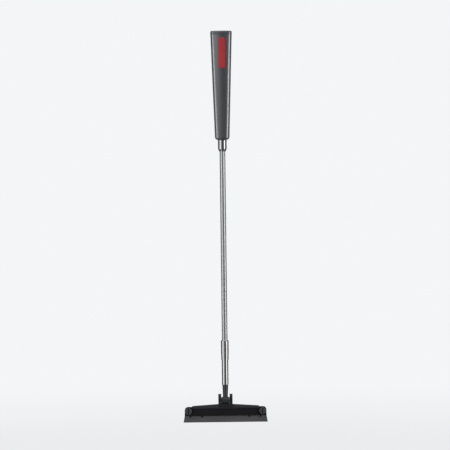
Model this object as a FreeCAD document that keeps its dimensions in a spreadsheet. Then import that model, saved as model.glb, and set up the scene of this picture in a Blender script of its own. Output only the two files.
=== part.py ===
import FreeCAD, Part
import math
import os
import Sketcher

# Algae scraper with a two-piece pole. Millimetres, +Z up along the pole, X along the blade,
# -Y is the front. The origin is the middle of the blade guard's underside.

Vector = FreeCAD.Vector
Rotation = FreeCAD.Rotation

doc = FreeCAD.newDocument("AlgaeScraper")
sheet = doc.addObject("Spreadsheet::Sheet", "Sizes")

# Driving dimensions. Heights named _z are above the guard's underside.
DIMENSIONS = {
    # handle
    "cap_top_z": 440.0,
    "grip_top_z": 436.0,
    "grip_bottom_z": 317.6,
    "grip_top_width": 24.2,
    "grip_top_depth": 20.0,
    "grip_bottom_width": 16.4,
    "grip_bottom_depth": 13.6,
    "grip_corner": 5.0,
    "grip_shoulder": 3.6,
    "grip_crown_radius": 34.0,
    "grip_wall": 2.0,
    "core_corner": 1.5,
    "cap_edge": 1.3,
    "cap_seam": 0.4,
    "cap_plug_width": 12.0,
    "cap_plug_depth": 8.0,
    "cap_plug_length": 7.0,
    "cap_plug_gap": 0.5,
    "inlay_width": 8.0,
    "inlay_length": 34.0,
    "inlay_middle_z": 415.8,
    "inlay_corner": 1.2,
    "inlay_floor": 7.6,
    "inlay_proud": 0.15,
    "fit_gap": 0.05,
    # pole
    "tube_radius": 3.2,
    "tube_wall": 0.6,
    "tube_top_z": 425.0,
    "top_plug_length": 7.0,
    "top_plug_rim": 0.7,
    "top_plug_lead": 1.0,
    "roll_pin_radius": 1.0,
    "roll_pin_z": 332.0,
    "roll_pin_length": 8.6,
    "roll_pin_edge": 0.25,
    "collar_bottom_z": 304.6,
    "collar_radius": 5.0,
    "collar_nose": 2.2,
    "collar_nose_radius": 3.7,
    "collar_step": 0.3,
    "collar_edge": 0.5,
    "collar_spigot_radius": 4.1,
    "collar_spigot_length": 5.0,
    # coupling
    "sleeve_top_z": 92.0,
    "sleeve_step_z": 78.7,
    "sleeve_bottom_z": 70.0,
    "sleeve_radius": 4.4,
    "sleeve_mouth_radius": 4.15,
    "sleeve_lip": 2.7,
    "sleeve_edge": 0.4,
    "skirt_gap": 0.5,
    "running_gap": 0.07,
    "thread_radius": 3.5,
    "thread_bottom_z": 76.0,
    "thread_top_z": 85.0,
    "thread_edge": 0.5,
    "flange_bottom_z": 86.0,
    "flange_radius": 3.42,
    "spigot_length": 9.0,
    "spigot_lead": 0.6,
    "key_flats": 3.6,
    "key_bottom_z": 75.2,
    "key_socket_bottom_z": 74.6,
    "seal_ring_radius": 2.85,
    "seal_cord_radius": 0.47,
    # lower pole and its end fitting
    "lower_tube_radius": 3.75,
    "lower_tube_bottom_z": 42.2,
    "plug_length": 8.0,
    "fitting_spigot_length": 14.0,
    "stem_lip": 0.8,
    "stem_top_radius": 3.3,
    "stem_neck_radius": 2.75,
    "stem_neck_z": 29.0,
    "pivot_z": 24.2,
    "barrel_radius": 4.0,
    "barrel_width": 8.4,
    # yoke and pivot
    "pivot_radius": 1.5,
    "pivot_length": 15.6,
    "pivot_edge": 0.4,
    "ear_outer_x": 8.0,
    "ear_inner_x": 4.7,
    "ear_half_depth": 4.3,
    "ear_top_z": 31.6,
    "ear_rounding": 3.9,
    "ear_root": 0.6,
    "yoke_floor_z": 21.0,
    "barrel_relief": 0.35,
    "washer_radius": 3.5,
    "washer_thickness": 0.4,
    # head frame
    "head_half_width": 46.0,
    "head_bottom_z": 7.5,
    "head_end_z": 16.9,
    "roof_top_z": 19.8,
    "roof_end_z": 17.9,
    "roof_half_width": 37.5,
    "roof_underside_z": 15.3,
    "roof_front": 4.4,
    "roof_lip_z": 16.2,
    "roof_brow_front": 3.6,
    "roof_brow_z": 17.8,
    "roof_ridge_front": 0.9,
    "roof_gap": 0.3,
    "frame_front": 0.3,
    "frame_back": 5.6,
    "head_corner": 3.6,
    "panel_depth": 2.4,
    "panel_bottom_z": 9.2,
    "panel_top_z": 15.2,
    "panel_half_span": 34.8,
    "rib_width": 1.4,
    # clamp plate
    "clamp_back": 0.3,
    "clamp_end_front": 2.8,
    "clamp_bar_front": 4.2,
    "clamp_bar_top_z": 15.0,
    "clamp_bar_half_width": 37.3,
    "clamp_edge": 0.7,
    "finger_width": 2.3,
    "finger_back": 0.45,
    "finger_bottom_z": 5.7,
    "finger_inner_x": 26.5,
    "finger_outer_x": 39.5,
    "finger_rounding": 1.0,
    # clamp screws
    "screw_x": 41.7,
    "screw_z": 12.6,
    "screw_radius": 1.5,
    "screw_hole_radius": 1.7,
    "screw_tip": 5.9,
    "screw_head_radius": 4.0,
    "screw_head_thickness": 3.8,
    "screw_head_edge": 0.5,
    "screw_seat_edge": 0.3,
    "screw_tip_edge": 0.5,
    "screw_slot_width": 1.2,
    "screw_slot_depth": 1.3,
    "knurl_radius": 0.32,
    "knurl_offset": 0.1,
    "ring_radius": 2.6,
    "ring_thickness": 0.5,
    "ring_recess_radius": 2.8,
    "ring_recess_depth": 0.8,
    "ring_gap": 1.6,
    "ring_clearance": 0.1,
    "nut_flats": 5.5,
    "nut_thickness": 2.4,
    "nut_recess_depth": 2.6,
    # blade
    "blade_half_width": 44.8,
    "blade_thickness": 0.5,
    "blade_edge_z": 1.7,
    "blade_top_z": 14.9,
    "bevel_height": 1.5,
    "edge_thickness": 0.08,
    "blade_slot_radius": 1.75,
    # blade guard
    "guard_height": 7.2,
    "guard_bottom_half_width": 47.4,
    "guard_top_half_width": 46.1,
    "guard_bottom_half_depth": 3.0,
    "guard_top_half_depth": 2.6,
    "guard_floor": 1.3,
    "guard_slot_gap": 0.07,
    "guard_end_gap": 0.4,
    "guard_notch_width": 3.1,
    "guard_notch_bottom_z": 5.2,
    "guard_edge": 0.5,
    # how far a cut or a join runs past the face that it has to clear
    "past": 1.0,
}

for row, (alias, value) in enumerate(DIMENSIONS.items(), start=1):
    sheet.set(f"A{row}", alias)
    sheet.set(f"B{row}", str(value))
    sheet.setAlias(f"B{row}", alias)
doc.recompute()

PIECES = []
KNURL_COUNT = 24
PANEL_COUNT = 6


def size(text):
    """A formula over the sheet's aliases, written with the sheet's name before each alias."""
    words = []
    for word in text.replace("(", "( ").replace(")", " )").split():
        words.append(f"Sizes.{word}" if word in DIMENSIONS else word)
    return " ".join(words)


def value_of(text):
    return float(sheet.evalExpression(size(text)))


def piece(label, bottom="0", across="0", back="0", turned=None):
    """A new body at (across, back, bottom), turned if its own +Z isn't the pole's."""
    body = doc.addObject("PartDesign::Body", label)
    body.Label = label
    if turned:
        body.Placement = FreeCAD.Placement(Vector(), turned)
    for axis, place in (("x", across), ("y", back), ("z", bottom)):
        body.setExpression(f"Placement.Base.{axis}", size(place))
    PIECES.append(body)
    return body


def sketch_on(body, name, role, offset="0"):
    """A sketch on one of the body's origin planes, moved along that plane's normal."""
    sketch = body.newObject("Sketcher::SketchObject", f"{body.Name}_{name}")
    plane = next(feature for feature in body.Origin.OriginFeatures if feature.Role == role)
    sketch.AttachmentSupport = [(plane, "")]
    sketch.MapMode = "FlatFace"
    sketch.setExpression("AttachmentOffset.Base.z", size(offset))
    return sketch


def fix_point(sketch, geometry, point, across, up):
    """Tie a point of a sketch to two formulas."""
    for kind, axis, text in (("DistanceX", -2, across), ("DistanceY", -1, up)):
        distance = value_of(text)
        if abs(distance) < 1e-9:
            sketch.addConstraint(Sketcher.Constraint("PointOnObject", geometry, point, axis))
        else:
            index = sketch.addConstraint(Sketcher.Constraint(kind, -1, 1, geometry, point, distance))
            sketch.setExpression(f"Constraints[{index}]", size(text))


def outline(sketch, points):
    """A closed outline of straight lines through points given as pairs of formulas."""
    corners = [Vector(value_of(across), value_of(up), 0) for across, up in points]
    first = len(sketch.Geometry)
    count = len(points)
    for index in range(count):
        ends = corners[index], corners[(index + 1) % count]
        sketch.addGeometry(Part.LineSegment(*ends), False)
    for index in range(count):
        following = first + (index + 1) % count
        sketch.addConstraint(Sketcher.Constraint("Coincident", first + index, 2, following, 1))
    for index, (across, up) in enumerate(points):
        fix_point(sketch, first + index, 1, across, up)


def rectangle(sketch, left, right, low, high):
    outline(sketch, [(left, low), (right, low), (right, high), (left, high)])


def circle(sketch, across, up, radius):
    middle = Vector(value_of(across), value_of(up), 0)
    index = sketch.addGeometry(Part.Circle(middle, Vector(0, 0, 1), value_of(radius)), False)
    fix_point(sketch, index, 3, across, up)
    constraint = sketch.addConstraint(Sketcher.Constraint("Radius", index, value_of(radius)))
    sketch.setExpression(f"Constraints[{constraint}]", size(radius))


def hexagon(sketch, across, up, flats):
    corners = []
    for corner in range(6):
        angle = 60 * corner + 30
        corners.append((
            f"{across} + ({flats}) / sqrt(3) * cos({angle})",
            f"{up} + ({flats}) / sqrt(3) * sin({angle})",
        ))
    outline(sketch, corners)


def pad(body, sketch, length, both_ways=False):
    """Extrude along the sketch's normal, or by half the length each way."""
    feature = body.newObject("PartDesign::Pad", f"{sketch.Name}_pad")
    feature.Profile = sketch
    feature.SideType = "Symmetric" if both_ways else "One side"
    feature.setExpression("Length", size(length))
    sketch.Visibility = False
    return feature


def pocket(body, sketch, depth, both_ways=False, along_normal=False):
    """Cut against the sketch's normal, along it, or by half the depth each way."""
    doc.recompute()
    before = body.Shape.Volume
    feature = body.newObject("PartDesign::Pocket", f"{sketch.Name}_pocket")
    feature.Profile = sketch
    feature.SideType = "Symmetric" if both_ways else "One side"
    feature.Reversed = along_normal
    feature.setExpression("Length", size(depth))
    sketch.Visibility = False
    doc.recompute()
    if body.Shape.Volume > before - 1e-4:
        raise RuntimeError(f"{feature.Name} cuts nothing")
    return feature


def revolve(body, name, points):
    """Turn an outline, given as pairs of radius and height, about the body's +Z."""
    sketch = sketch_on(body, name, "XZ_Plane")
    outline(sketch, points)
    feature = body.newObject("PartDesign::Revolution", f"{sketch.Name}_turned")
    feature.Profile = sketch
    feature.ReferenceAxis = (sketch, ["V_Axis"])
    feature.Angle = 360
    sketch.Visibility = False
    return feature


def loft(body, name, kind, sections):
    """A straight-sided loft through rectangles given as height, width and depth."""
    sketches = []
    for index, (height, width, depth) in enumerate(sections):
        sketch = sketch_on(body, f"{name}_{index}", "XY_Plane", height)
        half_width = f"({width}) / 2"
        half_depth = f"({depth}) / 2"
        rectangle(sketch, f"0 - {half_width}", half_width, f"0 - {half_depth}", half_depth)
        sketch.Visibility = False
        sketches.append(sketch)
    feature = body.newObject(f"PartDesign::{kind}", f"{body.Name}_{name}")
    feature.Profile = sketches[0]
    feature.Sections = sketches[1:]
    feature.Ruled = True
    return feature


def tapered_block(body, name, low, high):
    """A block with four sloping sides, from two levels given as height, width and depth."""
    (bottom, bottom_width, bottom_depth) = low
    (top, top_width, top_depth) = high
    front = sketch_on(body, f"{name}_front", "XZ_Plane")
    outline(front, [
        (f"0 - ({bottom_width}) / 2", bottom),
        (f"({bottom_width}) / 2", bottom),
        (f"({top_width}) / 2", top),
        (f"0 - ({top_width}) / 2", top),
    ])
    pad(body, front, f"({top_depth}) + 2", both_ways=True)
    side = sketch_on(body, f"{name}_side", "YZ_Plane")
    for sign in ("", "0 - "):
        outline(side, [
            (f"{sign}({bottom_depth}) / 2", bottom),
            (f"{sign}(({top_depth}) / 2 + 2)", bottom),
            (f"{sign}(({top_depth}) / 2 + 2)", top),
            (f"{sign}({top_depth}) / 2", top),
        ])
    pocket(body, side, f"2 * ({top_width})", both_ways=True)


def outside_arc(sketch, sign, middle, radius, reach, outer):
    """The region beyond a shallow arc that crosses the sketch's vertical axis at sign * middle."""
    arc_radius = value_of(radius)
    half_turn = math.asin(value_of(reach) / arc_radius)
    towards = sign * math.pi / 2
    centre = Vector(0, sign * (value_of(middle) - arc_radius), 0)
    whole = Part.Circle(centre, Vector(0, 0, 1), arc_radius)
    arc = sketch.addGeometry(Part.ArcOfCircle(whole, towards - half_turn, towards + half_turn), False)
    start = sketch.getPoint(arc, 1)
    end = sketch.getPoint(arc, 2)
    far = sign * value_of(outer)
    corners = [end, Vector(end.x, far, 0), Vector(start.x, far, 0), start]
    for first, second in zip(corners, corners[1:]):
        sketch.addGeometry(Part.LineSegment(first, second), False)
    for first, point, second in ((arc, 2, arc + 1), (arc + 1, 2, arc + 2), (arc + 2, 2, arc + 3)):
        sketch.addConstraint(Sketcher.Constraint("Coincident", first, point, second, 1))
    sketch.addConstraint(Sketcher.Constraint("Coincident", arc + 3, 2, arc, 1))
    sketch.addConstraint(Sketcher.Constraint("Vertical", arc + 1))
    sketch.addConstraint(Sketcher.Constraint("Vertical", arc + 3))
    signed = {1: "", -1: "0 - "}
    fix_point(sketch, arc, 3, "0", f"{signed[sign]}({middle} - {radius})")
    fix_point(sketch, arc + 2, 1, f"{signed[-sign]}({reach})", f"{signed[sign]}({outer})")
    fix_point(sketch, arc + 2, 2, f"{signed[sign]}({reach})", f"{signed[sign]}({outer})")
    constraint = sketch.addConstraint(Sketcher.Constraint("Radius", arc, arc_radius))
    sketch.setExpression(f"Constraints[{constraint}]", size(radius))


def round_edges(body, name, radius, chosen, kind="Fillet"):
    """Fillet or chamfer the edges of the body so far that a test picks."""
    doc.recompute()
    base = body.Tip
    edges = []
    for index, edge in enumerate(base.Shape.Edges, start=1):
        if chosen(edge):
            edges.append(f"Edge{index}")
    if not edges:
        raise RuntimeError(f"{body.Name}_{name} found no edge")
    feature = body.newObject(f"PartDesign::{kind}", f"{body.Name}_{name}")
    feature.Base = (base, edges)
    feature.setExpression("Radius" if kind == "Fillet" else "Size", size(radius))
    return feature


def mirror(body, features, role):
    """Repeat features on the other side of one of the body's origin planes."""
    feature = body.newObject("PartDesign::Mirrored", f"{body.Name}_mirrored")
    plane = next(item for item in body.Origin.OriginFeatures if item.Role == role)
    feature.Originals = features
    feature.MirrorPlane = (plane, [""])
    body.Tip = feature
    return feature


def lies_at(edge, **place):
    """Whether every end of an edge has the given coordinates, in the body's own frame."""
    for vertex in edge.Vertexes:
        for axis, wanted in place.items():
            if abs(getattr(vertex.Point, axis) - wanted) > 1e-3:
                return False
    return True


def rises(edge):
    """Whether an edge starts out mostly along the body's Z."""
    return abs(edge.tangentAt(edge.FirstParameter).z) > 0.9


def runs_back(edge):
    """Whether an edge runs from front to back."""
    return abs(edge.tangentAt(edge.FirstParameter).y) > 0.9


# ---------------------------------------------------------------- handle

HEIGHT_OF_GRIP = "(grip_top_z - grip_bottom_z)"


def width_at(height):
    """The grip's width at a height above the guard's underside."""
    slope = f"(grip_top_width - grip_bottom_width) / {HEIGHT_OF_GRIP}"
    return f"(grip_bottom_width + ({height} - grip_bottom_z) * {slope})"


def depth_at(height):
    """The grip's depth at a height above the guard's underside."""
    slope = f"(grip_top_depth - grip_bottom_depth) / {HEIGHT_OF_GRIP}"
    return f"(grip_bottom_depth + ({height} - grip_bottom_z) * {slope})"


def crown(body, name, level, proud, signs=(-1, 1)):
    """Cut the sloping front and back to shallow arcs across, from a height up."""
    slope = f"((grip_top_depth - grip_bottom_depth) / 2 / {HEIGHT_OF_GRIP})"
    for sign in signs:
        side = "front" if sign < 0 else "back"
        sketch = sketch_on(body, f"{name}_{side}", "XY_Plane", level)
        outside_arc(sketch, sign, f"({depth_at(level)} / 2 + {proud})", "grip_crown_radius",
                    "grip_top_width", "2 * grip_top_depth")
        doc.recompute()
        before = body.Shape.Volume
        feature = body.newObject("PartDesign::Pocket", f"{sketch.Name}_pocket")
        feature.Profile = sketch
        feature.UseCustomVector = True
        feature.Direction = Vector(0, sign * value_of(slope), 1)
        feature.setExpression("Length", size(f"2 * {HEIGHT_OF_GRIP}"))
        sketch.Visibility = False
        doc.recompute()
        if body.Shape.Volume > before - 1e-4:
            raise RuntimeError(f"{feature.Name} cuts nothing")


def handle_block(body, low, high):
    """The handle's tapered outside between two heights, crowned and with rounded corners."""
    levels = []
    for height in (low, high):
        levels.append((height, width_at(height), f"({depth_at(height)} + 2 * past)"))
    tapered_block(body, "outer", *levels)
    crown(body, "crown", low, "0")
    round_edges(body, "corners", "grip_corner", rises)


def make_soft_grip():
    """Soft outer sleeve: tapered, with a floor that the ferrule's spigot passes through."""
    body = piece("soft_grip")
    handle_block(body, "grip_bottom_z", "grip_top_z")
    low = value_of("grip_bottom_z")
    round_edges(body, "shoulder", "grip_shoulder", lambda edge: lies_at(edge, z=low))
    floor = "(grip_bottom_z + grip_wall)"
    sections = []
    for height in (floor, "grip_top_z"):
        width = f"{width_at(height)} - 2 * grip_wall"
        depth = f"{depth_at(height)} - 2 * grip_wall"
        sections.append((height, width, depth))
    loft(body, "cavity", "SubtractiveLoft", sections)
    spigot = sketch_on(body, "spigot_hole", "XY_Plane", floor)
    circle(spigot, "0", "0", "collar_spigot_radius + fit_gap")
    pocket(body, spigot, "grip_wall + past")
    recess = sketch_on(body, "inlay_recess", "XZ_Plane", "inlay_floor")
    draw_inlay(recess, "0")
    pocket(body, recess, "grip_top_depth", along_normal=True)
    half_width = value_of("inlay_width / 2")
    round_edges(body, "recess_corners", "inlay_corner + fit_gap",
                lambda edge: runs_back(edge) and abs(abs(edge.Vertexes[0].X) - half_width) < 1e-3)


def draw_inlay(sketch, inset):
    """The inlay's rectangle, drawn on a sketch that faces the front."""
    half_width = f"(inlay_width / 2 - {inset})"
    half_length = f"(inlay_length / 2 - {inset})"
    low = f"inlay_middle_z - {half_length}"
    high = f"inlay_middle_z + {half_length}"
    rectangle(sketch, f"0 - {half_width}", half_width, low, high)


def make_red_inlay():
    """Strip set in the front of the grip, standing slightly proud of its sloping face."""
    body = piece("red_inlay")
    sketch = sketch_on(body, "strip", "XZ_Plane", "inlay_floor + fit_gap")
    draw_inlay(sketch, "fit_gap")
    pad(body, sketch, "grip_top_depth / 2 - inlay_floor + 2 * past")
    crown(body, "face", "(inlay_middle_z - inlay_length)", "inlay_proud", signs=(-1,))
    round_edges(body, "corners", "inlay_corner", runs_back)


def make_handle_core():
    """Hard core inside the grip, bored for the tube and recessed for the cap's plug."""
    body = piece("handle_core")
    floor = "(grip_bottom_z + grip_wall)"
    sections = []
    for height in (floor, "grip_top_z"):
        width = f"{width_at(height)} - 2 * grip_wall - 2 * fit_gap"
        depth = f"{depth_at(height)} - 2 * grip_wall - 2 * fit_gap"
        sections.append((height, width, depth))
    tapered_block(body, "outer", *sections)
    round_edges(body, "corners", "core_corner", rises)
    relief = sketch_on(body, "inlay_relief", "XZ_Plane", "inlay_floor - fit_gap")
    draw_inlay(relief, "0 - fit_gap")
    pocket(body, relief, "grip_top_depth", along_normal=True)
    bore = sketch_on(body, "tube_bore", "XY_Plane", "tube_top_z + top_plug_rim + fit_gap")
    circle(bore, "0", "0", "tube_radius + fit_gap")
    pocket(body, bore, "tube_top_z")
    spigot = sketch_on(body, "spigot_bore", "XY_Plane",
                       "grip_bottom_z + collar_spigot_length + fit_gap")
    circle(spigot, "0", "0", "collar_spigot_radius + fit_gap")
    pocket(body, spigot, "collar_spigot_length")
    recess = sketch_on(body, "cap_recess", "XY_Plane", "grip_top_z")
    half_width = "(cap_plug_width / 2 + fit_gap)"
    half_depth = "(cap_plug_depth / 2 + fit_gap)"
    rectangle(recess, f"0 - {half_width}", half_width, f"0 - {half_depth}", half_depth)
    pocket(body, recess, "cap_plug_length + cap_plug_gap")
    drill_roll_pin(body)


def drill_roll_pin(body):
    """The cross hole that the roll pin sits in."""
    hole = sketch_on(body, "roll_pin_hole", "XZ_Plane")
    circle(hole, "0", "roll_pin_z", "roll_pin_radius + fit_gap / 2")
    pocket(body, hole, "2 * grip_top_depth", both_ways=True)


def make_end_cap():
    """Cap on the grip's top, with a plug that enters the core."""
    body = piece("end_cap")
    handle_block(body, "grip_top_z", "cap_top_z")
    high = value_of("cap_top_z")
    low = value_of("grip_top_z")
    round_edges(body, "top_edge", "cap_edge", lambda edge: lies_at(edge, z=high))
    round_edges(body, "seam", "cap_seam", lambda edge: lies_at(edge, z=low), "Chamfer")
    plug = sketch_on(body, "plug", "XY_Plane", "grip_top_z - cap_plug_length")
    half_width = "(cap_plug_width / 2)"
    half_depth = "(cap_plug_depth / 2)"
    rectangle(plug, f"0 - {half_width}", half_width, f"0 - {half_depth}", half_depth)
    pad(body, plug, "cap_plug_length + past")


def make_handle_ferrule():
    """Collar where the tube enters the handle, with a spigot up into the core."""
    body = piece("handle_ferrule", "collar_bottom_z")
    top = "(grip_bottom_z - collar_bottom_z)"
    revolve(body, "section", [
        ("tube_radius + fit_gap", "0"),
        ("collar_nose_radius", "0"),
        ("collar_radius - collar_step", "collar_nose"),
        ("collar_radius", "collar_nose + collar_edge"),
        ("collar_radius", f"{top} - collar_edge"),
        ("collar_radius - collar_edge", top),
        ("collar_spigot_radius", top),
        ("collar_spigot_radius", f"{top} + collar_spigot_length"),
        ("tube_radius + fit_gap", f"{top} + collar_spigot_length"),
    ])


def make_roll_pin():
    """Cross pin that holds the tube in the handle core."""
    body = piece("tube_roll_pin", "roll_pin_z", back="0 - roll_pin_length / 2",
                 turned=Rotation(Vector(1, 0, 0), -90))
    plain_pin(body, "roll_pin_radius", "roll_pin_length", "roll_pin_edge")


def plain_pin(body, radius, length, edge):
    """A round pin with both its ends chamfered."""
    revolve(body, "section", [
        ("0", "0"),
        (f"{radius} - {edge}", "0"),
        (radius, edge),
        (radius, f"{length} - {edge}"),
        (f"{radius} - {edge}", length),
        ("0", length),
    ])


# ---------------------------------------------------------------- upper pole

def make_upper_tube():
    """Long stainless tube from the coupling into the handle."""
    body = piece("upper_tube", "sleeve_top_z - sleeve_lip - running_gap")
    length = "(tube_top_z - sleeve_top_z + sleeve_lip + running_gap)"
    revolve(body, "section", [
        ("tube_radius - tube_wall", "0"),
        ("tube_radius", "0"),
        ("tube_radius", length),
        ("tube_radius - tube_wall", length),
    ])
    hole = sketch_on(body, "roll_pin_hole", "XZ_Plane")
    circle(hole, "0", "roll_pin_z - sleeve_top_z + sleeve_lip + running_gap",
           "roll_pin_radius + fit_gap / 2")
    pocket(body, hole, "4 * tube_radius", both_ways=True)


def make_tube_top_plug():
    """Plastic plug that closes the tube's upper end inside the handle."""
    body = piece("tube_top_plug", "tube_top_z - top_plug_length")
    revolve(body, "section", [
        ("0", "0"),
        ("tube_radius - tube_wall - fit_gap - top_plug_lead / 2", "0"),
        ("tube_radius - tube_wall - fit_gap", "top_plug_lead"),
        ("tube_radius - tube_wall - fit_gap", "top_plug_length"),
        ("tube_radius", "top_plug_length"),
        ("tube_radius", "top_plug_length + top_plug_rim"),
        ("0", "top_plug_length + top_plug_rim"),
    ])


def make_upper_spigot():
    """Plug in the tube's lower end: a flange that the sleeve pulls on, and a hexagonal key."""
    body = piece("upper_spigot", "flange_bottom_z")
    flange = "(sleeve_top_z - sleeve_lip - running_gap - flange_bottom_z)"
    revolve(body, "section", [
        ("0", "0"),
        ("flange_radius", "0"),
        ("flange_radius", flange),
        ("tube_radius - tube_wall - fit_gap", flange),
        ("tube_radius - tube_wall - fit_gap", f"{flange} + spigot_length - spigot_lead"),
        ("tube_radius - tube_wall - fit_gap - spigot_lead", f"{flange} + spigot_length"),
        ("0", f"{flange} + spigot_length"),
    ])
    key = sketch_on(body, "key", "XY_Plane", "key_bottom_z - flange_bottom_z")
    hexagon(key, "0", "0", "key_flats")
    pad(body, key, "flange_bottom_z - key_bottom_z + past")


def make_coupling_sleeve():
    """Union sleeve: its lip catches the upper spigot's flange, its bore screws on the plug."""
    body = piece("coupling_sleeve", "sleeve_bottom_z")
    step = "(sleeve_step_z - sleeve_bottom_z)"
    top = "(sleeve_top_z - sleeve_bottom_z)"
    skirt_top = "(thread_bottom_z - sleeve_bottom_z + skirt_gap)"
    revolve(body, "section", [
        ("lower_tube_radius + running_gap", "0"),
        ("sleeve_mouth_radius", "0"),
        ("sleeve_radius", step),
        ("sleeve_radius", f"{top} - sleeve_edge"),
        ("sleeve_radius - sleeve_edge", top),
        ("tube_radius + running_gap", top),
        ("tube_radius + running_gap", f"{top} - sleeve_lip"),
        ("thread_radius + running_gap", f"{top} - sleeve_lip"),
        ("thread_radius + running_gap", skirt_top),
        ("lower_tube_radius + running_gap", skirt_top),
    ])


# ---------------------------------------------------------------- lower pole

def make_lower_tube():
    """Short, slightly thicker stainless tube below the coupling."""
    body = piece("lower_tube", "lower_tube_bottom_z")
    length = "(thread_bottom_z - lower_tube_bottom_z)"
    revolve(body, "section", [
        ("lower_tube_radius - tube_wall", "0"),
        ("lower_tube_radius", "0"),
        ("lower_tube_radius", length),
        ("lower_tube_radius - tube_wall", length),
    ])


def make_lower_thread_plug():
    """Plug in the lower tube's top: the coupling's male thread, with the key's socket in it."""
    body = piece("lower_thread_plug", "thread_bottom_z - plug_length")
    top = "(plug_length + thread_top_z - thread_bottom_z)"
    inside = "lower_tube_radius - tube_wall - fit_gap"
    revolve(body, "section", [
        ("0", "0"),
        (f"{inside} - spigot_lead", "0"),
        (inside, "spigot_lead"),
        (inside, "plug_length"),
        ("thread_radius", "plug_length"),
        ("thread_radius", f"{top} - thread_edge"),
        ("thread_radius - thread_edge", top),
        ("0", top),
    ])
    socket = sketch_on(body, "socket", "XY_Plane", top)
    hexagon(socket, "0", "0", "key_flats + 2 * running_gap")
    pocket(body, socket, "thread_top_z - key_socket_bottom_z")


def make_seal_ring():
    """Rubber ring squeezed between the plug's top and the spigot's flange."""
    ring = doc.addObject("Part::Torus", "coupling_o_ring")
    ring.Label = "coupling_o_ring"
    ring.setExpression("Radius1", size("seal_ring_radius"))
    ring.setExpression("Radius2", size("seal_cord_radius"))
    ring.setExpression("Placement.Base.z", size("( thread_top_z + flange_bottom_z ) / 2"))
    PIECES.append(ring)


def make_pole_end_fitting():
    """Plastic stem in the lower tube's end, with the pivot's barrel at its foot."""
    body = piece("pole_end_fitting", "pivot_z")
    shoulder = "(lower_tube_bottom_z - pivot_z)"
    inside = "lower_tube_radius - tube_wall - fit_gap"
    revolve(body, "stem", [
        ("0", "0"),
        ("stem_neck_radius", "0"),
        ("stem_neck_radius", "stem_neck_z - pivot_z"),
        ("stem_top_radius", f"{shoulder} - stem_lip"),
        ("stem_top_radius", shoulder),
        (inside, shoulder),
        (inside, f"{shoulder} + fitting_spigot_length - spigot_lead"),
        (f"{inside} - spigot_lead", f"{shoulder} + fitting_spigot_length"),
        ("0", f"{shoulder} + fitting_spigot_length"),
    ])
    barrel = sketch_on(body, "barrel", "YZ_Plane")
    circle(barrel, "0", "0", "barrel_radius")
    pad(body, barrel, "barrel_width", both_ways=True)
    bore = sketch_on(body, "bore", "YZ_Plane")
    circle(bore, "0", "0", "pivot_radius + running_gap")
    pocket(body, bore, "2 * barrel_width", both_ways=True)


# ---------------------------------------------------------------- head

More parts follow.
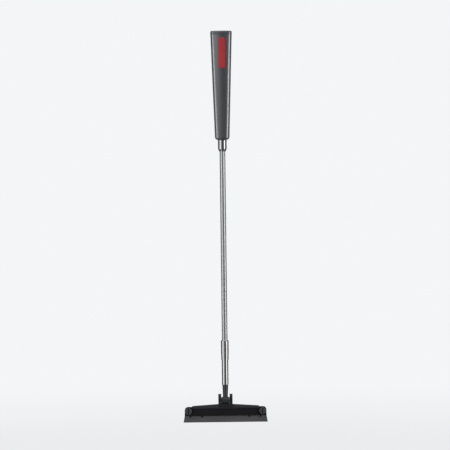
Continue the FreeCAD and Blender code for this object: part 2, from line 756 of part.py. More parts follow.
def make_head_frame():
    """Rear half of the head, with the roof over the clamp and the yoke for the pivot."""
    body = piece("head_frame")
    right = "head_half_width"
    left = "0 - head_half_width"
    wall = sketch_on(body, "wall", "XZ_Plane", "0 - frame_back")
    outline(wall, [
        (left, "head_bottom_z"),
        (right, "head_bottom_z"),
        (right, "head_end_z"),
        ("roof_half_width", "head_end_z"),
        ("roof_half_width", "roof_end_z"),
        ("ear_outer_x", "roof_top_z"),
        ("0 - ear_outer_x", "roof_top_z"),
        ("0 - roof_half_width", "roof_end_z"),
        ("0 - roof_half_width", "head_end_z"),
        (left, "head_end_z"),
    ])
    pad(body, wall, "frame_back - frame_front")
    edge_x = value_of("head_half_width")
    edge_z = value_of("head_end_z")
    round_edges(body, "corners", "head_corner",
                lambda edge: lies_at(edge, x=edge_x, z=edge_z) or lies_at(edge, x=-edge_x, z=edge_z))
    roof = sketch_on(body, "roof", "YZ_Plane")
    outline(roof, [
        ("frame_front", "roof_underside_z"),
        ("0 - roof_front", "roof_underside_z"),
        ("0 - roof_front", "roof_lip_z"),
        ("0 - roof_brow_front", "roof_brow_z"),
        ("0 - roof_ridge_front", "roof_top_z"),
        ("frame_front", "roof_top_z"),
    ])
    pad(body, roof, "2 * roof_half_width", both_ways=True)
    slopes = sketch_on(body, "slopes", "XZ_Plane")
    for side in ("", "0 - "):
        outline(slopes, [
            (f"{side}ear_outer_x", "roof_top_z"),
            (f"{side}roof_half_width", "roof_end_z"),
            (f"{side}head_half_width", "roof_end_z"),
            (f"{side}head_half_width", "roof_top_z + past"),
            (f"{side}ear_outer_x", "roof_top_z + past"),
        ])
    pocket(body, slopes, "4 * roof_front", both_ways=True)
    ears = sketch_on(body, "ears", "YZ_Plane")
    rectangle(ears, "0 - ear_half_depth", "ear_half_depth", "roof_underside_z + past", "ear_top_z")
    pad(body, ears, "2 * ear_outer_x", both_ways=True)
    top_z = value_of("ear_top_z")
    half_depth = value_of("ear_half_depth")
    round_edges(body, "ear_tops", "ear_rounding",
                lambda edge: lies_at(edge, z=top_z, y=half_depth) or lies_at(edge, z=top_z, y=-half_depth))
    side_x = value_of("ear_outer_x")
    roof_z = value_of("roof_top_z")
    round_edges(body, "ear_roots", "ear_root",
                lambda edge: (lies_at(edge, x=side_x) or lies_at(edge, x=-side_x))
                and all(vertex.Z < roof_z + 1e-3 for vertex in edge.Vertexes))
    slot = sketch_on(body, "slot", "YZ_Plane")
    rectangle(slot, "0 - frame_back - past", "frame_back + past", "yoke_floor_z", "ear_top_z + past")
    pocket(body, slot, "2 * ear_inner_x", both_ways=True)
    relief = sketch_on(body, "barrel_relief", "YZ_Plane")
    circle(relief, "0", "pivot_z", "barrel_radius + barrel_relief")
    pocket(body, relief, "2 * ear_inner_x", both_ways=True)
    hole = sketch_on(body, "pivot_hole", "YZ_Plane")
    circle(hole, "0", "pivot_z", "pivot_radius + fit_gap / 2")
    pocket(body, hole, "4 * ear_outer_x", both_ways=True)
    screws = sketch_on(body, "screw_holes", "XZ_Plane", "frame_back")
    nuts = sketch_on(body, "nut_recesses", "XZ_Plane", "0 - frame_back")
    for side in ("", "0 - "):
        circle(screws, f"{side}screw_x", "screw_z", "screw_hole_radius")
        hexagon(nuts, f"{side}screw_x", "screw_z", "nut_flats + 2 * fit_gap")
    pocket(body, screws, "3 * frame_back")
    pocket(body, nuts, "nut_recess_depth", along_normal=True)
    panels = sketch_on(body, "panels", "XZ_Plane", "0 - frame_back")
    pitch = f"(2 * panel_half_span + rib_width) / {PANEL_COUNT}"
    for index in range(PANEL_COUNT):
        start = f"{index} * {pitch} - panel_half_span"
        end = f"{index + 1} * {pitch} - panel_half_span - rib_width"
        rectangle(panels, start, end, "panel_bottom_z", "panel_top_z")
    pocket(body, panels, "panel_depth", along_normal=True)


def make_pivot_pin():
    """Steel pin through the yoke and the barrel."""
    body = piece("pivot_pin", "pivot_z", across="0 - pivot_length / 2",
                 turned=Rotation(Vector(0, 1, 0), 90))
    plain_pin(body, "pivot_radius", "pivot_length", "pivot_edge")


def make_pivot_washers():
    """Two nylon washers, one each side of the barrel."""
    body = piece("pivot_washers", "pivot_z")
    body.AllowCompound = True
    start = "(barrel_width / 2 + (ear_inner_x - barrel_width / 2 - washer_thickness) / 2)"
    sketch = sketch_on(body, "section", "YZ_Plane", start)
    circle(sketch, "0", "0", "washer_radius")
    circle(sketch, "0", "0", "pivot_radius + running_gap")
    feature = pad(body, sketch, "washer_thickness")
    mirror(body, [feature], "YZ_Plane")


def make_captive_nuts():
    """Two hexagonal nuts, sunk in the frame's back."""
    body = piece("captive_nuts", "screw_z", back="frame_back - nut_recess_depth + nut_thickness")
    body.AllowCompound = True
    sketch = sketch_on(body, "section", "XZ_Plane")
    hexagon(sketch, "screw_x", "0", "nut_flats")
    circle(sketch, "screw_x", "0", "screw_radius + running_gap")
    feature = pad(body, sketch, "nut_thickness")
    mirror(body, [feature], "YZ_Plane")


# ---------------------------------------------------------------- clamp

def make_clamp_plate():
    """Front half of the head: a thick bar, thinner screwed ends and four fingers below."""
    body = piece("clamp_plate")
    right = "head_half_width"
    left = "0 - head_half_width"
    notch = "clamp_bar_half_width"
    plate = sketch_on(body, "plate", "XZ_Plane", "clamp_back")
    outline(plate, [
        (left, "head_bottom_z"),
        (right, "head_bottom_z"),
        (right, "head_end_z"),
        ("roof_half_width + roof_gap", "head_end_z"),
        ("roof_half_width + roof_gap", "clamp_bar_top_z"),
        ("0 - roof_half_width - roof_gap", "clamp_bar_top_z"),
        ("0 - roof_half_width - roof_gap", "head_end_z"),
        (left, "head_end_z"),
    ])
    pad(body, plate, "clamp_end_front - clamp_back")
    edge_x = value_of("head_half_width")
    edge_z = value_of("head_end_z")
    round_edges(body, "corners", "head_corner",
                lambda edge: lies_at(edge, x=edge_x, z=edge_z) or lies_at(edge, x=-edge_x, z=edge_z))
    bar = sketch_on(body, "bar", "XZ_Plane", "clamp_end_front")
    rectangle(bar, f"0 - {notch}", notch, "head_bottom_z", "clamp_bar_top_z")
    pad(body, bar, "clamp_bar_front - clamp_end_front")
    front = -value_of("clamp_bar_front")
    round_edges(body, "bar_edges", "clamp_edge", lambda edge: lies_at(edge, y=front))
    fingers = sketch_on(body, "fingers", "XZ_Plane", "finger_back")
    recesses = sketch_on(body, "ring_recesses", "XZ_Plane", "clamp_back")
    holes = sketch_on(body, "screw_holes", "XZ_Plane", "clamp_bar_front")
    for side in ("", "0 - "):
        for middle in ("finger_inner_x", "finger_outer_x"):
            start = f"{side}{middle} - finger_width / 2"
            end = f"{side}{middle} + finger_width / 2"
            rectangle(fingers, start, end, "finger_bottom_z", "head_bottom_z + past")
        circle(recesses, f"{side}screw_x", "screw_z", "ring_recess_radius")
        circle(holes, f"{side}screw_x", "screw_z", "screw_radius + running_gap")
    pad(body, fingers, "clamp_end_front - finger_back")
    low = value_of("finger_bottom_z")
    round_edges(body, "finger_tips", "finger_rounding",
                lambda edge: lies_at(edge, z=low) and runs_back(edge))
    pocket(body, recesses, "ring_recess_depth", along_normal=True)
    pocket(body, holes, "2 * clamp_bar_front")


def make_retaining_rings():
    """Two split rings that keep the screws in the clamp plate when it is loosened."""
    body = piece("screw_retaining_rings", "screw_z", back="0 - clamp_back - ring_clearance")
    body.AllowCompound = True
    sketch = sketch_on(body, "section", "XZ_Plane")
    circle(sketch, "screw_x", "0", "ring_radius")
    circle(sketch, "screw_x", "0", "screw_radius + running_gap")
    feature = pad(body, sketch, "ring_thickness")
    gap = sketch_on(body, "gap", "XZ_Plane")
    rectangle(gap, "screw_x - ring_gap / 2", "screw_x + ring_gap / 2", "0", "2 * ring_radius")
    opening = pocket(body, gap, "4 * ring_thickness", both_ways=True)
    mirror(body, [feature, opening], "YZ_Plane")


def make_clamp_screw(label, across):
    """Thumb screw: knurled head with a coin slot, and a plain shank for the thread."""
    body = piece(label, "screw_z", across=across, turned=Rotation(Vector(1, 0, 0), 90))
    seat = "(clamp_end_front + fit_gap)"
    top = f"({seat} + screw_head_thickness)"
    revolve(body, "section", [
        ("0", "0 - screw_tip"),
        ("screw_radius - screw_tip_edge", "0 - screw_tip"),
        ("screw_radius", "screw_tip_edge - screw_tip"),
        ("screw_radius", seat),
        ("screw_head_radius - screw_seat_edge", seat),
        ("screw_head_radius", f"{seat} + screw_seat_edge"),
        ("screw_head_radius", f"{top} - screw_head_edge"),
        ("screw_head_radius - screw_head_edge", top),
        ("0", top),
    ])
    slot = sketch_on(body, "slot", "XY_Plane", top)
    rectangle(slot, "0 - screw_slot_width / 2", "screw_slot_width / 2",
              "0 - 2 * screw_head_radius", "2 * screw_head_radius")
    pocket(body, slot, "screw_slot_depth")
    knurl = sketch_on(body, "knurl", "XY_Plane", f"{top} + past")
    circle(knurl, "screw_head_radius + knurl_offset", "0", "knurl_radius")
    groove = pocket(body, knurl, "screw_head_thickness + 2 * past")
    pattern = body.newObject("PartDesign::PolarPattern", f"{label}_knurls")
    axis = next(item for item in body.Origin.OriginFeatures if item.Role == "Z_Axis")
    pattern.Originals = [groove]
    pattern.Axis = (axis, [""])
    pattern.Angle = 360
    pattern.Occurrences = KNURL_COUNT
    body.Tip = pattern


# ---------------------------------------------------------------- blade and guard

def make_scraper_blade():
    """Stainless strip, bevelled on both faces, with open slots round the screws."""
    body = piece("scraper_blade")
    half_thickness = "blade_thickness / 2"
    strip = sketch_on(body, "strip", "XZ_Plane")
    rectangle(strip, "0 - blade_half_width", "blade_half_width", "blade_edge_z", "blade_top_z")
    pad(body, strip, "blade_thickness", both_ways=True)
    bevels = sketch_on(body, "bevels", "YZ_Plane")
    bottom = "(blade_edge_z - past)"
    outside = f"({half_thickness} + past)"
    for side in ("", "0 - "):
        outline(bevels, [
            (f"{side}edge_thickness / 2", "blade_edge_z"),
            (f"{side}edge_thickness / 2", bottom),
            (f"{side}{outside}", bottom),
            (f"{side}{outside}", "blade_edge_z + bevel_height"),
            (f"{side}({half_thickness})", "blade_edge_z + bevel_height"),
        ])
    pocket(body, bevels, "4 * blade_half_width", both_ways=True)
    rounds = sketch_on(body, "slot_rounds", "XZ_Plane")
    mouths = sketch_on(body, "slot_mouths", "XZ_Plane")
    for side in ("", "0 - "):
        circle(rounds, f"{side}screw_x", "screw_z", "blade_slot_radius")
        start = f"{side}screw_x - blade_slot_radius"
        end = f"{side}screw_x + blade_slot_radius"
        rectangle(mouths, start, end, "screw_z", "blade_top_z + past")
    pocket(body, rounds, "4 * blade_thickness", both_ways=True)
    pocket(body, mouths, "4 * blade_thickness", both_ways=True)


def make_blade_guard():
    """Slip-on channel over the cutting edge, notched in front for the clamp's fingers."""
    body = piece("blade_guard")
    bottom = ("0", "2 * guard_bottom_half_width", "2 * guard_bottom_half_depth")
    top = ("guard_height", "2 * guard_top_half_width", "2 * guard_top_half_depth")
    tapered_block(body, "outer", bottom, top)
    round_edges(body, "bottom_edge", "guard_edge", lambda edge: lies_at(edge, z=0))
    slot = sketch_on(body, "slot", "XY_Plane", "guard_height")
    half_length = "(blade_half_width + guard_end_gap)"
    half_gap = "(blade_thickness / 2 + guard_slot_gap)"
    rectangle(slot, f"0 - {half_length}", half_length, f"0 - {half_gap}", half_gap)
    pocket(body, slot, "guard_height - guard_floor")
    notches = sketch_on(body, "notches", "XZ_Plane", half_gap)
    for side in ("", "0 - "):
        for middle in ("finger_inner_x", "finger_outer_x"):
            start = f"{side}{middle} - guard_notch_width / 2"
            end = f"{side}{middle} + guard_notch_width / 2"
            rectangle(notches, start, end, "guard_notch_bottom_z", "guard_height + past")
    pocket(body, notches, "2 * guard_bottom_half_depth", along_normal=True)


make_soft_grip()
make_red_inlay()
make_handle_core()
make_end_cap()
make_handle_ferrule()
make_roll_pin()
make_upper_tube()
make_tube_top_plug()
make_upper_spigot()
make_coupling_sleeve()
make_lower_tube()
make_lower_thread_plug()
make_seal_ring()
make_pole_end_fitting()
make_head_frame()
make_pivot_pin()
make_pivot_washers()
make_captive_nuts()
make_clamp_plate()
make_retaining_rings()
make_clamp_screw("left_clamp_screw", "0 - screw_x")
make_clamp_screw("right_clamp_screw", "screw_x")
make_scraper_blade()
make_blade_guard()

doc.recompute()
for item in doc.Objects:
    if "Invalid" in item.State or "Error" in item.State:
        raise RuntimeError(f"{item.Name} failed: {item.State}")
for item in PIECES:
    if item.Shape.isNull() or not item.Shape.isValid():
        raise RuntimeError(f"{item.Label} has no valid shape")

os.makedirs("parts", exist_ok=True)
for item in PIECES:
    item.Shape.exportStep(f"parts/{item.Label}.step")
    print(f"{item.Label}: {len(item.Shape.Solids)} solid(s), {item.Shape.Volume:.1f} mm3")
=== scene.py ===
import math

import bpy
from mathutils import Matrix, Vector


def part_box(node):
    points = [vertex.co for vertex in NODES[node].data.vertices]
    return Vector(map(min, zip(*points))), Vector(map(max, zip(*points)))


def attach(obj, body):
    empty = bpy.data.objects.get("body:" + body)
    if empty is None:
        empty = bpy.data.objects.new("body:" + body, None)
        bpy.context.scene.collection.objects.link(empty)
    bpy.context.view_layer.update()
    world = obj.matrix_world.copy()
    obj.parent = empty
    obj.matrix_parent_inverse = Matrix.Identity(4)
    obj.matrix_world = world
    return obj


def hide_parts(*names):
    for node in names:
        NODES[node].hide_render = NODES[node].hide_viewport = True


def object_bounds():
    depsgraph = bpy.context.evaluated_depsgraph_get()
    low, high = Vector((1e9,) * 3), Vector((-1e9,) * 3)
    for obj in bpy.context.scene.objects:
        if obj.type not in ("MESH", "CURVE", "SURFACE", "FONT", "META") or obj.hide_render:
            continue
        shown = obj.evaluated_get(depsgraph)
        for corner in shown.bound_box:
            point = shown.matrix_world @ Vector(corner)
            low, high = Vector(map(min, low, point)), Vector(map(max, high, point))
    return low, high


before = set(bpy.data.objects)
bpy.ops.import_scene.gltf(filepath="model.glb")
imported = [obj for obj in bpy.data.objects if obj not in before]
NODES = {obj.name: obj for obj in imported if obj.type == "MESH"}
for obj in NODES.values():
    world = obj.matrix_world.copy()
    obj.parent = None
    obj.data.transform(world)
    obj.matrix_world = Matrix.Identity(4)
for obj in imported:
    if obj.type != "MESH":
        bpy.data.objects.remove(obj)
CAD_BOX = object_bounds()

MM = 0.001

# ---------------------------------------------------------------- camera and studio

HALF_VIEW_ANGLE = math.radians(6.0)
VIEW_MARGIN = 1.152  # height of the view over the object's height
LEAN = math.radians(0.70)  # the tool hangs slightly out of plumb
AIM_RIGHT = 1.9 * MM  # the view's centre is this far right of the pole
AIM_UP = 221.8 * MM
FLOOR_Z = -60 * MM
FLOOR_RADIUS = 1.5
STRIP_LENGTH = 1.1

PALE = (0.90, 0.915, 0.93, 1.0)
FLOOR_GREY = (0.05, 0.05, 0.05, 1.0)
REAR_WALL = 0.20  # the walls' brightness beside and behind the tool


def make_camera():
    """A long lens straight in front of the tool."""
    low, high = CAD_BOX
    data = bpy.data.cameras.new("camera")
    data.sensor_width = 36.0
    data.lens = data.sensor_width / 2 / math.tan(HALF_VIEW_ANGLE)
    camera = bpy.data.objects.new("camera", data)
    bpy.context.scene.collection.objects.link(camera)
    distance = (high.z - low.z) * VIEW_MARGIN / 2 / math.tan(HALF_VIEW_ANGLE)
    camera.location = (AIM_RIGHT, -distance, AIM_UP)
    camera.rotation_euler = (math.radians(90), LEAN, 0)
    data.clip_start = 0.05
    data.clip_end = 100
    bpy.context.scene.camera = camera


def softbox(name, azimuth, distance, height, width, length, power):
    """A rectangular light that faces the pole's middle. Azimuth 0 is in front, 90 on the right."""
    data = bpy.data.lights.new(name, "AREA")
    data.shape = "RECTANGLE"
    data.size = width
    data.size_y = length
    data.energy = power
    lamp = bpy.data.objects.new(name, data)
    angle = math.radians(azimuth)
    lamp.location = (distance * math.sin(angle), -distance * math.cos(angle), height)
    towards = Vector((0, 0, AIM_UP)) - lamp.location
    lamp.rotation_euler = towards.to_track_quat("-Z", "Y").to_euler()
    lamp.visible_camera = False
    bpy.context.scene.collection.objects.link(lamp)


def make_lights():
    """Two tall strips in front for the long highlights, weaker ones behind, one overhead."""
    softbox("left_strip", azimuth=-59, distance=0.80, height=AIM_UP, width=0.34, length=STRIP_LENGTH,
            power=3.3)
    softbox("right_strip", azimuth=60, distance=0.80, height=AIM_UP, width=0.36, length=STRIP_LENGTH,
            power=3.9)
    softbox("rear_left_strip", azimuth=-157, distance=0.90, height=AIM_UP, width=0.20,
            length=STRIP_LENGTH, power=0.9)
    softbox("rear_right_strip", azimuth=157, distance=0.90, height=AIM_UP, width=0.20,
            length=STRIP_LENGTH, power=0.9)
    softbox("overhead", azimuth=0, distance=0.25, height=1.2, width=0.9, length=0.9, power=4.2)


def make_world():
    """Even pale surroundings for the camera, and uneven walls for light and reflections.

    The direction's X runs from -1 at the left to 1 at the right, and its Y is -1 in front.
    """
    world = bpy.data.worlds.new("studio")
    world.use_nodes = True
    tree = world.node_tree
    tree.nodes.clear()
    direction = add(tree, "ShaderNodeTexCoord").outputs["Generated"]
    split = add(tree, "ShaderNodeSeparateXYZ", {"Vector": direction})
    across = split.outputs["X"]
    left_wall = spread(tree, across, -0.60, 0.12, 1.1, 0.04, smooth=True)
    far_left_dimmer = spread(tree, across, -0.80, -0.50, 0.30, 1.0, smooth=True)
    right_wall = spread(tree, across, 0.25, 0.70, 0.0, 0.55, smooth=True)
    in_front = add(tree, "ShaderNodeMath", {
        0: left_wall, 1: far_left_dimmer, 2: right_wall,
    }, operation="MULTIPLY_ADD")
    beside_or_behind = spread(tree, split.outputs["Y"], -0.55, -0.10, 0.0, 1.0, smooth=True)
    strength = add(tree, "ShaderNodeMix", {
        "Factor": beside_or_behind, "A": in_front.outputs["Value"], "B": REAR_WALL,
    })
    walls = add(tree, "ShaderNodeBackground", {"Color": PALE, "Strength": strength.outputs["Result"]})
    backdrop = add(tree, "ShaderNodeBackground", {"Color": PALE, "Strength": 1.0})
    path = add(tree, "ShaderNodeLightPath")
    mix = add(tree, "ShaderNodeMixShader", {
        0: path.outputs["Is Camera Ray"],
        1: walls.outputs["Background"],
        2: backdrop.outputs["Background"],
    })
    add(tree, "ShaderNodeOutputWorld", {"Surface": mix.outputs["Shader"]})
    bpy.context.scene.world = world
    bpy.context.scene.view_settings.view_transform = "Standard"


def make_floor():
    """A plain pale floor, nearly self-lit, that fades out well away from the object.

    Only the camera sees it, so the polished parts reflect the studio and not the floor.
    """
    bpy.ops.mesh.primitive_circle_add(vertices=96, radius=FLOOR_RADIUS, fill_type="NGON",
                                      location=(0, 0, FLOOR_Z))
    floor = bpy.context.object
    floor.name = "floor"
    material, tree, shader = new_material("pale_floor")
    shader.inputs["Base Color"].default_value = FLOOR_GREY
    shader.inputs["Roughness"].default_value = 0.6
    shader.inputs["Specular IOR Level"].default_value = 0.0
    shader.inputs["Emission Color"].default_value = PALE
    shader.inputs["Emission Strength"].default_value = 0.88
    place = add(tree, "ShaderNodeTexCoord")
    distance = add(tree, "ShaderNodeVectorMath", {0: place.outputs["Object"]}, operation="LENGTH")
    fade = spread(tree, distance.outputs["Value"], 0.2 * FLOOR_RADIUS, 0.95 * FLOOR_RADIUS, 1.0, 0.0,
                  smooth=True)
    path = add(tree, "ShaderNodeLightPath")
    seen = add(tree, "ShaderNodeMath", {0: path.outputs["Is Camera Ray"], 1: fade}, operation="MULTIPLY")
    tree.links.new(seen.outputs["Value"], shader.inputs["Alpha"])
    floor.data.materials.append(material)


# ---------------------------------------------------------------- material helpers

def add(tree, kind, inputs=None, **settings):
    """A node of a kind, with its settings, and its inputs set to values or linked to sockets."""
    node = tree.nodes.new(kind)
    for key, value in settings.items():
        setattr(node, key, value)
    for key, value in (inputs or {}).items():
        if isinstance(value, bpy.types.NodeSocket):
            tree.links.new(value, node.inputs[key])
        else:
            node.inputs[key].default_value = value
    return node


def new_material(name):
    """A node material, with its node tree and its shader."""
    material = bpy.data.materials.new(name)
    material.use_nodes = True
    tree = material.node_tree
    return material, tree, tree.nodes["Principled BSDF"]


def measured_place(tree, size, stretch=(1, 1, 1)):
    """The place on the object, counted in steps of size millimetres, stretched along X, Y and Z."""
    place = add(tree, "ShaderNodeTexCoord")
    scale = [1 / (size * MM * factor) for factor in stretch]
    mapping = add(tree, "ShaderNodeMapping", {"Vector": place.outputs["Object"], "Scale": scale})
    return mapping.outputs["Vector"]


def noise(tree, size, stretch=(1, 1, 1), detail=3.0, rough=0.5, distortion=0.0):
    """Noise whose features are about size millimetres, stretched along X, Y and Z."""
    texture = add(tree, "ShaderNodeTexNoise", {
        "Vector": measured_place(tree, size, stretch), "Scale": 1.0, "Detail": detail,
        "Roughness": rough, "Distortion": distortion,
    })
    return texture.outputs["Fac"]


def pebbles(tree, size):
    """Rounded grains about size millimetres across."""
    texture = add(tree, "ShaderNodeTexVoronoi", {
        "Vector": measured_place(tree, size), "Scale": 1.0, "Smoothness": 1.0,
    }, feature="SMOOTH_F1")
    return texture.outputs["Distance"]


def spread(tree, value, low, high, to_low, to_high, smooth=False):
    """Remap a value, held inside the new range, in a straight line or eased at both ends."""
    node = add(tree, "ShaderNodeMapRange", {
        "Value": value, "From Min": low, "From Max": high, "To Min": to_low, "To Max": to_high,
    }, interpolation_type="SMOOTHSTEP" if smooth else "LINEAR")
    return node.outputs["Result"]


def total(tree, first, second):
    """The sum of two values or sockets."""
    return add(tree, "ShaderNodeMath", {0: first, 1: second}, operation="ADD").outputs["Value"]


def blend_colours(tree, factor, first, second):
    """A mix of two colours or colour sockets."""
    node = add(tree, "ShaderNodeMix", {"Factor": factor}, data_type="RGBA")
    inputs = [socket for socket in node.inputs if socket.type == "RGBA"]
    for socket, colour in zip(inputs, (first, second)):
        if isinstance(colour, bpy.types.NodeSocket):
            tree.links.new(colour, socket)
        else:
            socket.default_value = (*colour, 1)
    return next(socket for socket in node.outputs if socket.type == "RGBA")


def edge_mask(tree, radius):
    """1 on edges about radius millimetres wide, 0 on open faces.

    The rounded and the true normal agree on a face and part at an edge.
    """
    rounded = add(tree, "ShaderNodeBevel", {"Radius": radius * MM}, samples=6)
    geometry = add(tree, "ShaderNodeNewGeometry")
    dot = add(tree, "ShaderNodeVectorMath", {
        0: rounded.outputs["Normal"], 1: geometry.outputs["Normal"],
    }, operation="DOT_PRODUCT")
    return spread(tree, dot.outputs["Value"], 0.995, 0.86, 0.0, 1.0)


def bump(tree, shader, layers):
    """Stack height layers, each a value with its depth in millimetres."""
    normal = None
    for height, depth in layers:
        node = add(tree, "ShaderNodeBump", {"Height": height, "Distance": depth * MM, "Strength": 1.0})
        if normal is not None:
            tree.links.new(normal, node.inputs["Normal"])
        normal = node.outputs["Normal"]
    tree.links.new(normal, shader.inputs["Normal"])


def tone(colour, factor):
    """A darker or a lighter tone of a colour."""
    return tuple(min(1.0, part * factor) for part in colour)


def plastic(name, colour, roughness, grain, depth, mottle=0.10, gloss=0.5, edge_wear_sheen_gain=1.7, coat=0.0,
            coat_roughness=0.2, coat_ior=1.5):
    """Moulded plastic: a fine spark-eroded grain, faint flow mottling, and edges made lighter, partly as
    rubbed wear and partly as a painted sheen.

    The grain's size and depth are in millimetres.
    """
    material, tree, shader = new_material(name)
    flow = spread(tree, noise(tree, FLOW_SIZE, detail=4.0, rough=0.55, distortion=0.6), 0.3, 0.7, 0.0, 1.0)
    body = blend_colours(tree, flow, tone(colour, 1 - mottle), tone(colour, 1 + mottle))
    speck = spread(tree, noise(tree, grain * 1.7, detail=2.0), 0.35, 0.75, 0.0, 0.22)
    body = blend_colours(tree, speck, body, tone(colour, SPECK_GAIN))
    # Lighter edges in patches: partly rubbed wear, partly a painted sheen where the edges would catch the
    # light.
    patchy = spread(tree, noise(tree, WEAR_SHEEN_PATCH_SIZE, detail=5.0), 0.35, 0.65, 0.25, 1.0)
    wear_and_sheen = add(tree, "ShaderNodeMath", {0: edge_mask(tree, EDGE_WEAR_SHEEN_WIDTH), 1: patchy}, operation="MULTIPLY")
    body = blend_colours(tree, wear_and_sheen.outputs["Value"], body, tone(colour, edge_wear_sheen_gain))
    tree.links.new(body, shader.inputs["Base Color"])
    handled = noise(tree, HANDLED_SIZE, detail=5.0, rough=0.6)
    handled = spread(tree, handled, 0.32, 0.68, -0.05, 0.05)
    fine = spread(tree, noise(tree, grain, detail=2.0), 0.3, 0.7, -0.04, 0.04)
    tree.links.new(total(tree, total(tree, handled, fine), roughness), shader.inputs["Roughness"])
    shader.inputs["Specular IOR Level"].default_value = gloss
    shader.inputs["Coat Weight"].default_value = coat
    shader.inputs["Coat Roughness"].default_value = coat_roughness
    shader.inputs["Coat IOR"].default_value = coat_ior
    fuzz = noise(tree, grain * 0.45, detail=2.0)
    bump(tree, shader, [(pebbles(tree, grain), depth), (fuzz, depth * 0.5)])
    return material


def metal(name, colour, roughness, line_size, stretch, depth, mottle=0.06, smear=0.06, streaks=0.04):
    """Machined or drawn metal: fine parallel lines, soft smears and a faint tone change.

    The lines' size and depth are in millimetres.
    """
    material, tree, shader = new_material(name)
    shader.inputs["Metallic"].default_value = 1.0
    cloud = spread(tree, noise(tree, CLOUD_SIZE, stretch=(1, 1, 2.2), detail=4.0), 0.3, 0.7, 0.0, 1.0)
    body = blend_colours(tree, cloud, tone(colour, 1 - mottle), tone(colour, 1 + mottle))
    lines = noise(tree, line_size, stretch=stretch, detail=4.0, rough=0.6)
    in_lines = spread(tree, lines, 0.42, 0.72, 0.0, 0.30)
    body = blend_colours(tree, in_lines, body, tone(colour, LINE_GAIN))
    tree.links.new(body, shader.inputs["Base Color"])
    smears = noise(tree, SMEAR_SIZE, stretch=(1, 1, 1.8), detail=5.0, rough=0.65, distortion=0.8)
    smears = spread(tree, smears, 0.35, 0.70, -smear * 0.4, smear)
    drawn = spread(tree, lines, 0.3, 0.7, -streaks, streaks)
    tree.links.new(total(tree, total(tree, smears, drawn), roughness), shader.inputs["Roughness"])
    bump(tree, shader, [(lines, depth)])
    return material


# ---------------------------------------------------------------- materials

# Sizes of the patterns that the materials share, in millimetres.
FLOW_SIZE = 9.0
WEAR_SHEEN_PATCH_SIZE = 2.6
EDGE_WEAR_SHEEN_WIDTH = 0.35
HANDLED_SIZE = 14.0
CLOUD_SIZE = 16.0
SMEAR_SIZE = 7.0

SPECK_GAIN = 1.45  # the tone of a plastic's specks over its own
LINE_GAIN = 0.78  # the tone of a metal's lines over its own

ALONG = (1, 1, 400)  # lines that run up the pole
AROUND = (40, 40, 1)  # lines turned round the pole
DOWN_BLADE = (1, 1, 40)
SQUARE_TO_X = (1, 30, 30)  # lines turned round the pivot pin

PLASTICS = {
    # Anthracite elastomer with a satin skin over a fine grain.
    "soft_grip": dict(colour=(0.026, 0.027, 0.034), roughness=0.46, grain=0.46, depth=0.034,
                      gloss=1.0, edge_wear_sheen_gain=1.4, coat=1.0, coat_roughness=0.16, coat_ior=2.0),
    "handle_plastic": dict(colour=(0.053, 0.054, 0.060), roughness=0.38, grain=0.34, depth=0.020,
                           coat=0.8, coat_roughness=0.20, coat_ior=1.7),
    "red_strip": dict(colour=(0.35, 0.029, 0.036), roughness=0.34, grain=0.30, depth=0.014,
                      mottle=0.08, edge_wear_sheen_gain=1.3, coat=0.2),
    "head_plastic": dict(colour=(0.009, 0.009, 0.011), roughness=0.42, grain=0.34, depth=0.032,
                         gloss=0.35, edge_wear_sheen_gain=2.6),
    "bar_plastic": dict(colour=(0.0075, 0.0075, 0.0085), roughness=0.46, grain=0.34, depth=0.032,
                        gloss=0.16, edge_wear_sheen_gain=2.2),
    "fitting_plastic": dict(colour=(0.018, 0.017, 0.019), roughness=0.42, grain=0.32, depth=0.028),
    "screw_plastic": dict(colour=(0.034, 0.037, 0.038), roughness=0.42, grain=0.30, depth=0.024,
                          edge_wear_sheen_gain=2.2),
    "guard_plastic": dict(colour=(0.063, 0.061, 0.067), roughness=0.46, grain=0.38, depth=0.034,
                          edge_wear_sheen_gain=1.6),
    "nylon": dict(colour=(0.72, 0.71, 0.66), roughness=0.42, grain=0.35, depth=0.008,
                  mottle=0.03, edge_wear_sheen_gain=1.05),
    "seal_rubber": dict(colour=(0.02, 0.02, 0.02), roughness=0.55, grain=0.25, depth=0.010),
}

METALS = {
    "collar_chrome": dict(colour=(0.36, 0.36, 0.38), roughness=0.10, line_size=0.10, stretch=AROUND,
                          depth=0.0004, mottle=0.03, smear=0.02, streaks=0.015),
    "satin_steel": dict(colour=(0.34, 0.355, 0.365), roughness=0.38, line_size=0.10, stretch=ALONG,
                        depth=0.0016, mottle=0.03, smear=0.02, streaks=0.07),
    "polished_steel": dict(colour=(0.35, 0.347, 0.343), roughness=0.20, line_size=0.10, stretch=ALONG,
                           depth=0.0002, mottle=0.03, smear=0.015, streaks=0.015),
    "blade_steel": dict(colour=(0.62, 0.63, 0.64), roughness=0.26, line_size=0.09, stretch=DOWN_BLADE,
                        depth=0.0020),
    "pin_steel": dict(colour=(0.58, 0.58, 0.58), roughness=0.30, line_size=0.12, stretch=SQUARE_TO_X,
                      depth=0.0020),
}

NODE_SLOTS = {
    "soft_grip": ["soft_grip"],
    "handle_plastic": ["handle_core", "end_cap"],
    "red_strip": ["red_inlay"],
    "collar_chrome": ["handle_ferrule"],
    "satin_steel": ["upper_tube"],
    "polished_steel": ["coupling_sleeve", "lower_tube"],
    "blade_steel": ["scraper_blade"],
    "pin_steel": ["tube_roll_pin", "upper_spigot", "lower_thread_plug", "pivot_pin", "captive_nuts",
                  "screw_retaining_rings"],
    "head_plastic": ["head_frame"],
    "bar_plastic": ["clamp_plate"],
    "fitting_plastic": ["pole_end_fitting", "pivot_washers"],
    "screw_plastic": ["left_clamp_screw", "right_clamp_screw"],
    "guard_plastic": ["blade_guard"],
    "nylon": ["tube_top_plug"],
    "seal_rubber": ["coupling_o_ring"],
}

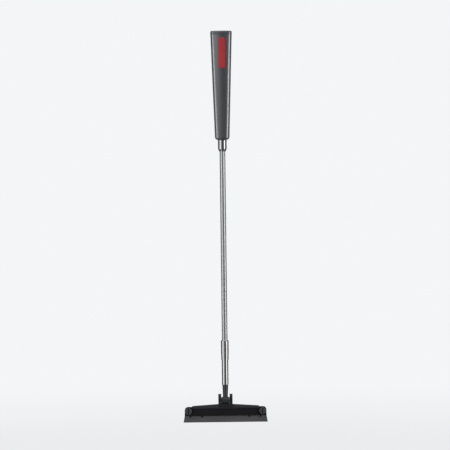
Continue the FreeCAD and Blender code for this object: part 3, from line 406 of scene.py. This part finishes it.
# Widths of the softened edges of the moulded pieces, in millimetres.
SOFT_EDGES = {
    "head_frame": 0.40,
    "clamp_plate": 0.25,
    "blade_guard": 0.30,
    "red_inlay": 0.12,
    "left_clamp_screw": 0.10,
    "right_clamp_screw": 0.10,
}


def make_material(slot):
    """The material of a slot, from the tables of plastics and metals."""
    if slot in PLASTICS:
        return plastic(slot, **PLASTICS[slot])
    return metal(slot, **METALS[slot])


def dress_nodes():
    """Give every CAD node its material."""
    for slot, names in NODE_SLOTS.items():
        material = make_material(slot)
        for name in names:
            data = NODES[name].data
            data.materials.clear()
            data.materials.append(material)


def soften_edges():
    """Round the sharp edges of moulded pieces with modifiers over their untouched meshes."""
    for name, width in SOFT_EDGES.items():
        node = NODES[name]
        weld = node.modifiers.new("weld", "WELD")
        weld.merge_threshold = 0.001 * MM
        edges = node.modifiers.new("soft_edges", "BEVEL")
        edges.width = width * MM
        edges.segments = 3
        edges.limit_method = "ANGLE"
        edges.angle_limit = math.radians(35)
        edges.harden_normals = True


# ---------------------------------------------------------------- the coupling's thread

THREAD_LEAD = 3.0 * MM  # the rise in one turn
THREAD_STARTS = 2
THREAD_DEPTH = 0.42 * MM
THREAD_CHAMFER = 0.5 * MM
THREAD_ROWS = 108
CREST_PART = 0.22  # the crest's flat and the flank, as parts of half a pitch
FLANK_PART = 0.56
PLUG_RADIUS = 3.1 * MM  # the part inside the lower tube
PLUG_LEAD_IN = 0.6 * MM
SOCKET_APOTHEM = 1.87 * MM
SOCKET_DEPTH = 10.4 * MM
TURN_STEPS = 96


def thread_radius(crest, top, z, turn):
    """The right-hand thread's radius at a height and an angle, with a chamfer at its top."""
    pitch = THREAD_LEAD / THREAD_STARTS
    phase = (z / pitch - THREAD_STARTS * turn / math.tau) % 1.0
    from_crest = abs(phase - 0.5) * 2
    flank = min(1.0, max(0.0, (from_crest - CREST_PART) / FLANK_PART))
    chamfered = crest - THREAD_CHAMFER + (top - z)
    return min(crest - THREAD_DEPTH * flank, chamfered)


def hexagon_radius(apothem, turn):
    """The radius of a hexagon at an angle, with corners to the front and the back."""
    sixth = math.pi / 3
    return apothem / math.cos((turn + sixth / 2) % sixth - sixth / 2)


def plug_rings(turns):
    """The plug's rings of radius and height, up its outside and down into its socket."""
    low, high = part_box("lower_thread_plug")
    crest = (high.x - low.x) / 2
    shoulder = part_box("lower_tube")[1].z
    socket_floor = high.z - SOCKET_DEPTH
    rings = [
        [(PLUG_RADIUS - PLUG_LEAD_IN, low.z)] * TURN_STEPS,
        [(PLUG_RADIUS, low.z + PLUG_LEAD_IN)] * TURN_STEPS,
        [(PLUG_RADIUS, shoulder)] * TURN_STEPS,
    ]
    for row in range(THREAD_ROWS + 1):
        z = shoulder + (high.z - shoulder) * row / THREAD_ROWS
        rings.append([(thread_radius(crest, high.z, z, turn), z) for turn in turns])
    rings.append([(hexagon_radius(SOCKET_APOTHEM, turn), high.z) for turn in turns])
    rings.append([(hexagon_radius(SOCKET_APOTHEM, turn), socket_floor) for turn in turns])
    return rings


def ring_faces(ring_count, foot, socket_floor):
    """Quads from ring to ring, and fans from the two centre points to the first and last ring."""
    last = ring_count - 1
    faces = []
    for step in range(TURN_STEPS):
        after = (step + 1) % TURN_STEPS
        faces.append((foot, after, step))
        faces.append((socket_floor, last * TURN_STEPS + step, last * TURN_STEPS + after))
        for ring in range(last):
            start = ring * TURN_STEPS
            faces.append((start + step, start + after, start + TURN_STEPS + after,
                          start + TURN_STEPS + step))
    return faces


def make_threaded_plug():
    """The plug of the lower pole, with its two-start thread and the key's hexagonal socket."""
    turns = [math.tau * step / TURN_STEPS for step in range(TURN_STEPS)]
    rings = plug_rings(turns)
    points = []
    for ring in rings:
        points += [(radius * math.cos(turn), radius * math.sin(turn), z)
                   for (radius, z), turn in zip(ring, turns)]
    foot = len(points)
    socket_floor = foot + 1
    points += [(0, 0, rings[0][0][1]), (0, 0, rings[-1][0][1])]
    mesh = bpy.data.meshes.new("threaded_plug")
    mesh.from_pydata(points, [], ring_faces(len(rings), foot, socket_floor))
    mesh.validate()
    plug = bpy.data.objects.new("threaded_plug", mesh)
    bpy.context.scene.collection.objects.link(plug)
    mesh.materials.append(NODES["lower_thread_plug"].data.materials[0])
    mesh.shade_smooth()
    mesh.set_sharp_from_angle(angle=math.radians(32))
    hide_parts("lower_thread_plug")
    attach(plug, "lower_pole")


make_camera()
make_world()
make_lights()
make_floor()
dress_nodes()
soften_edges()
make_threaded_plug()

bpy.context.view_layer.update()
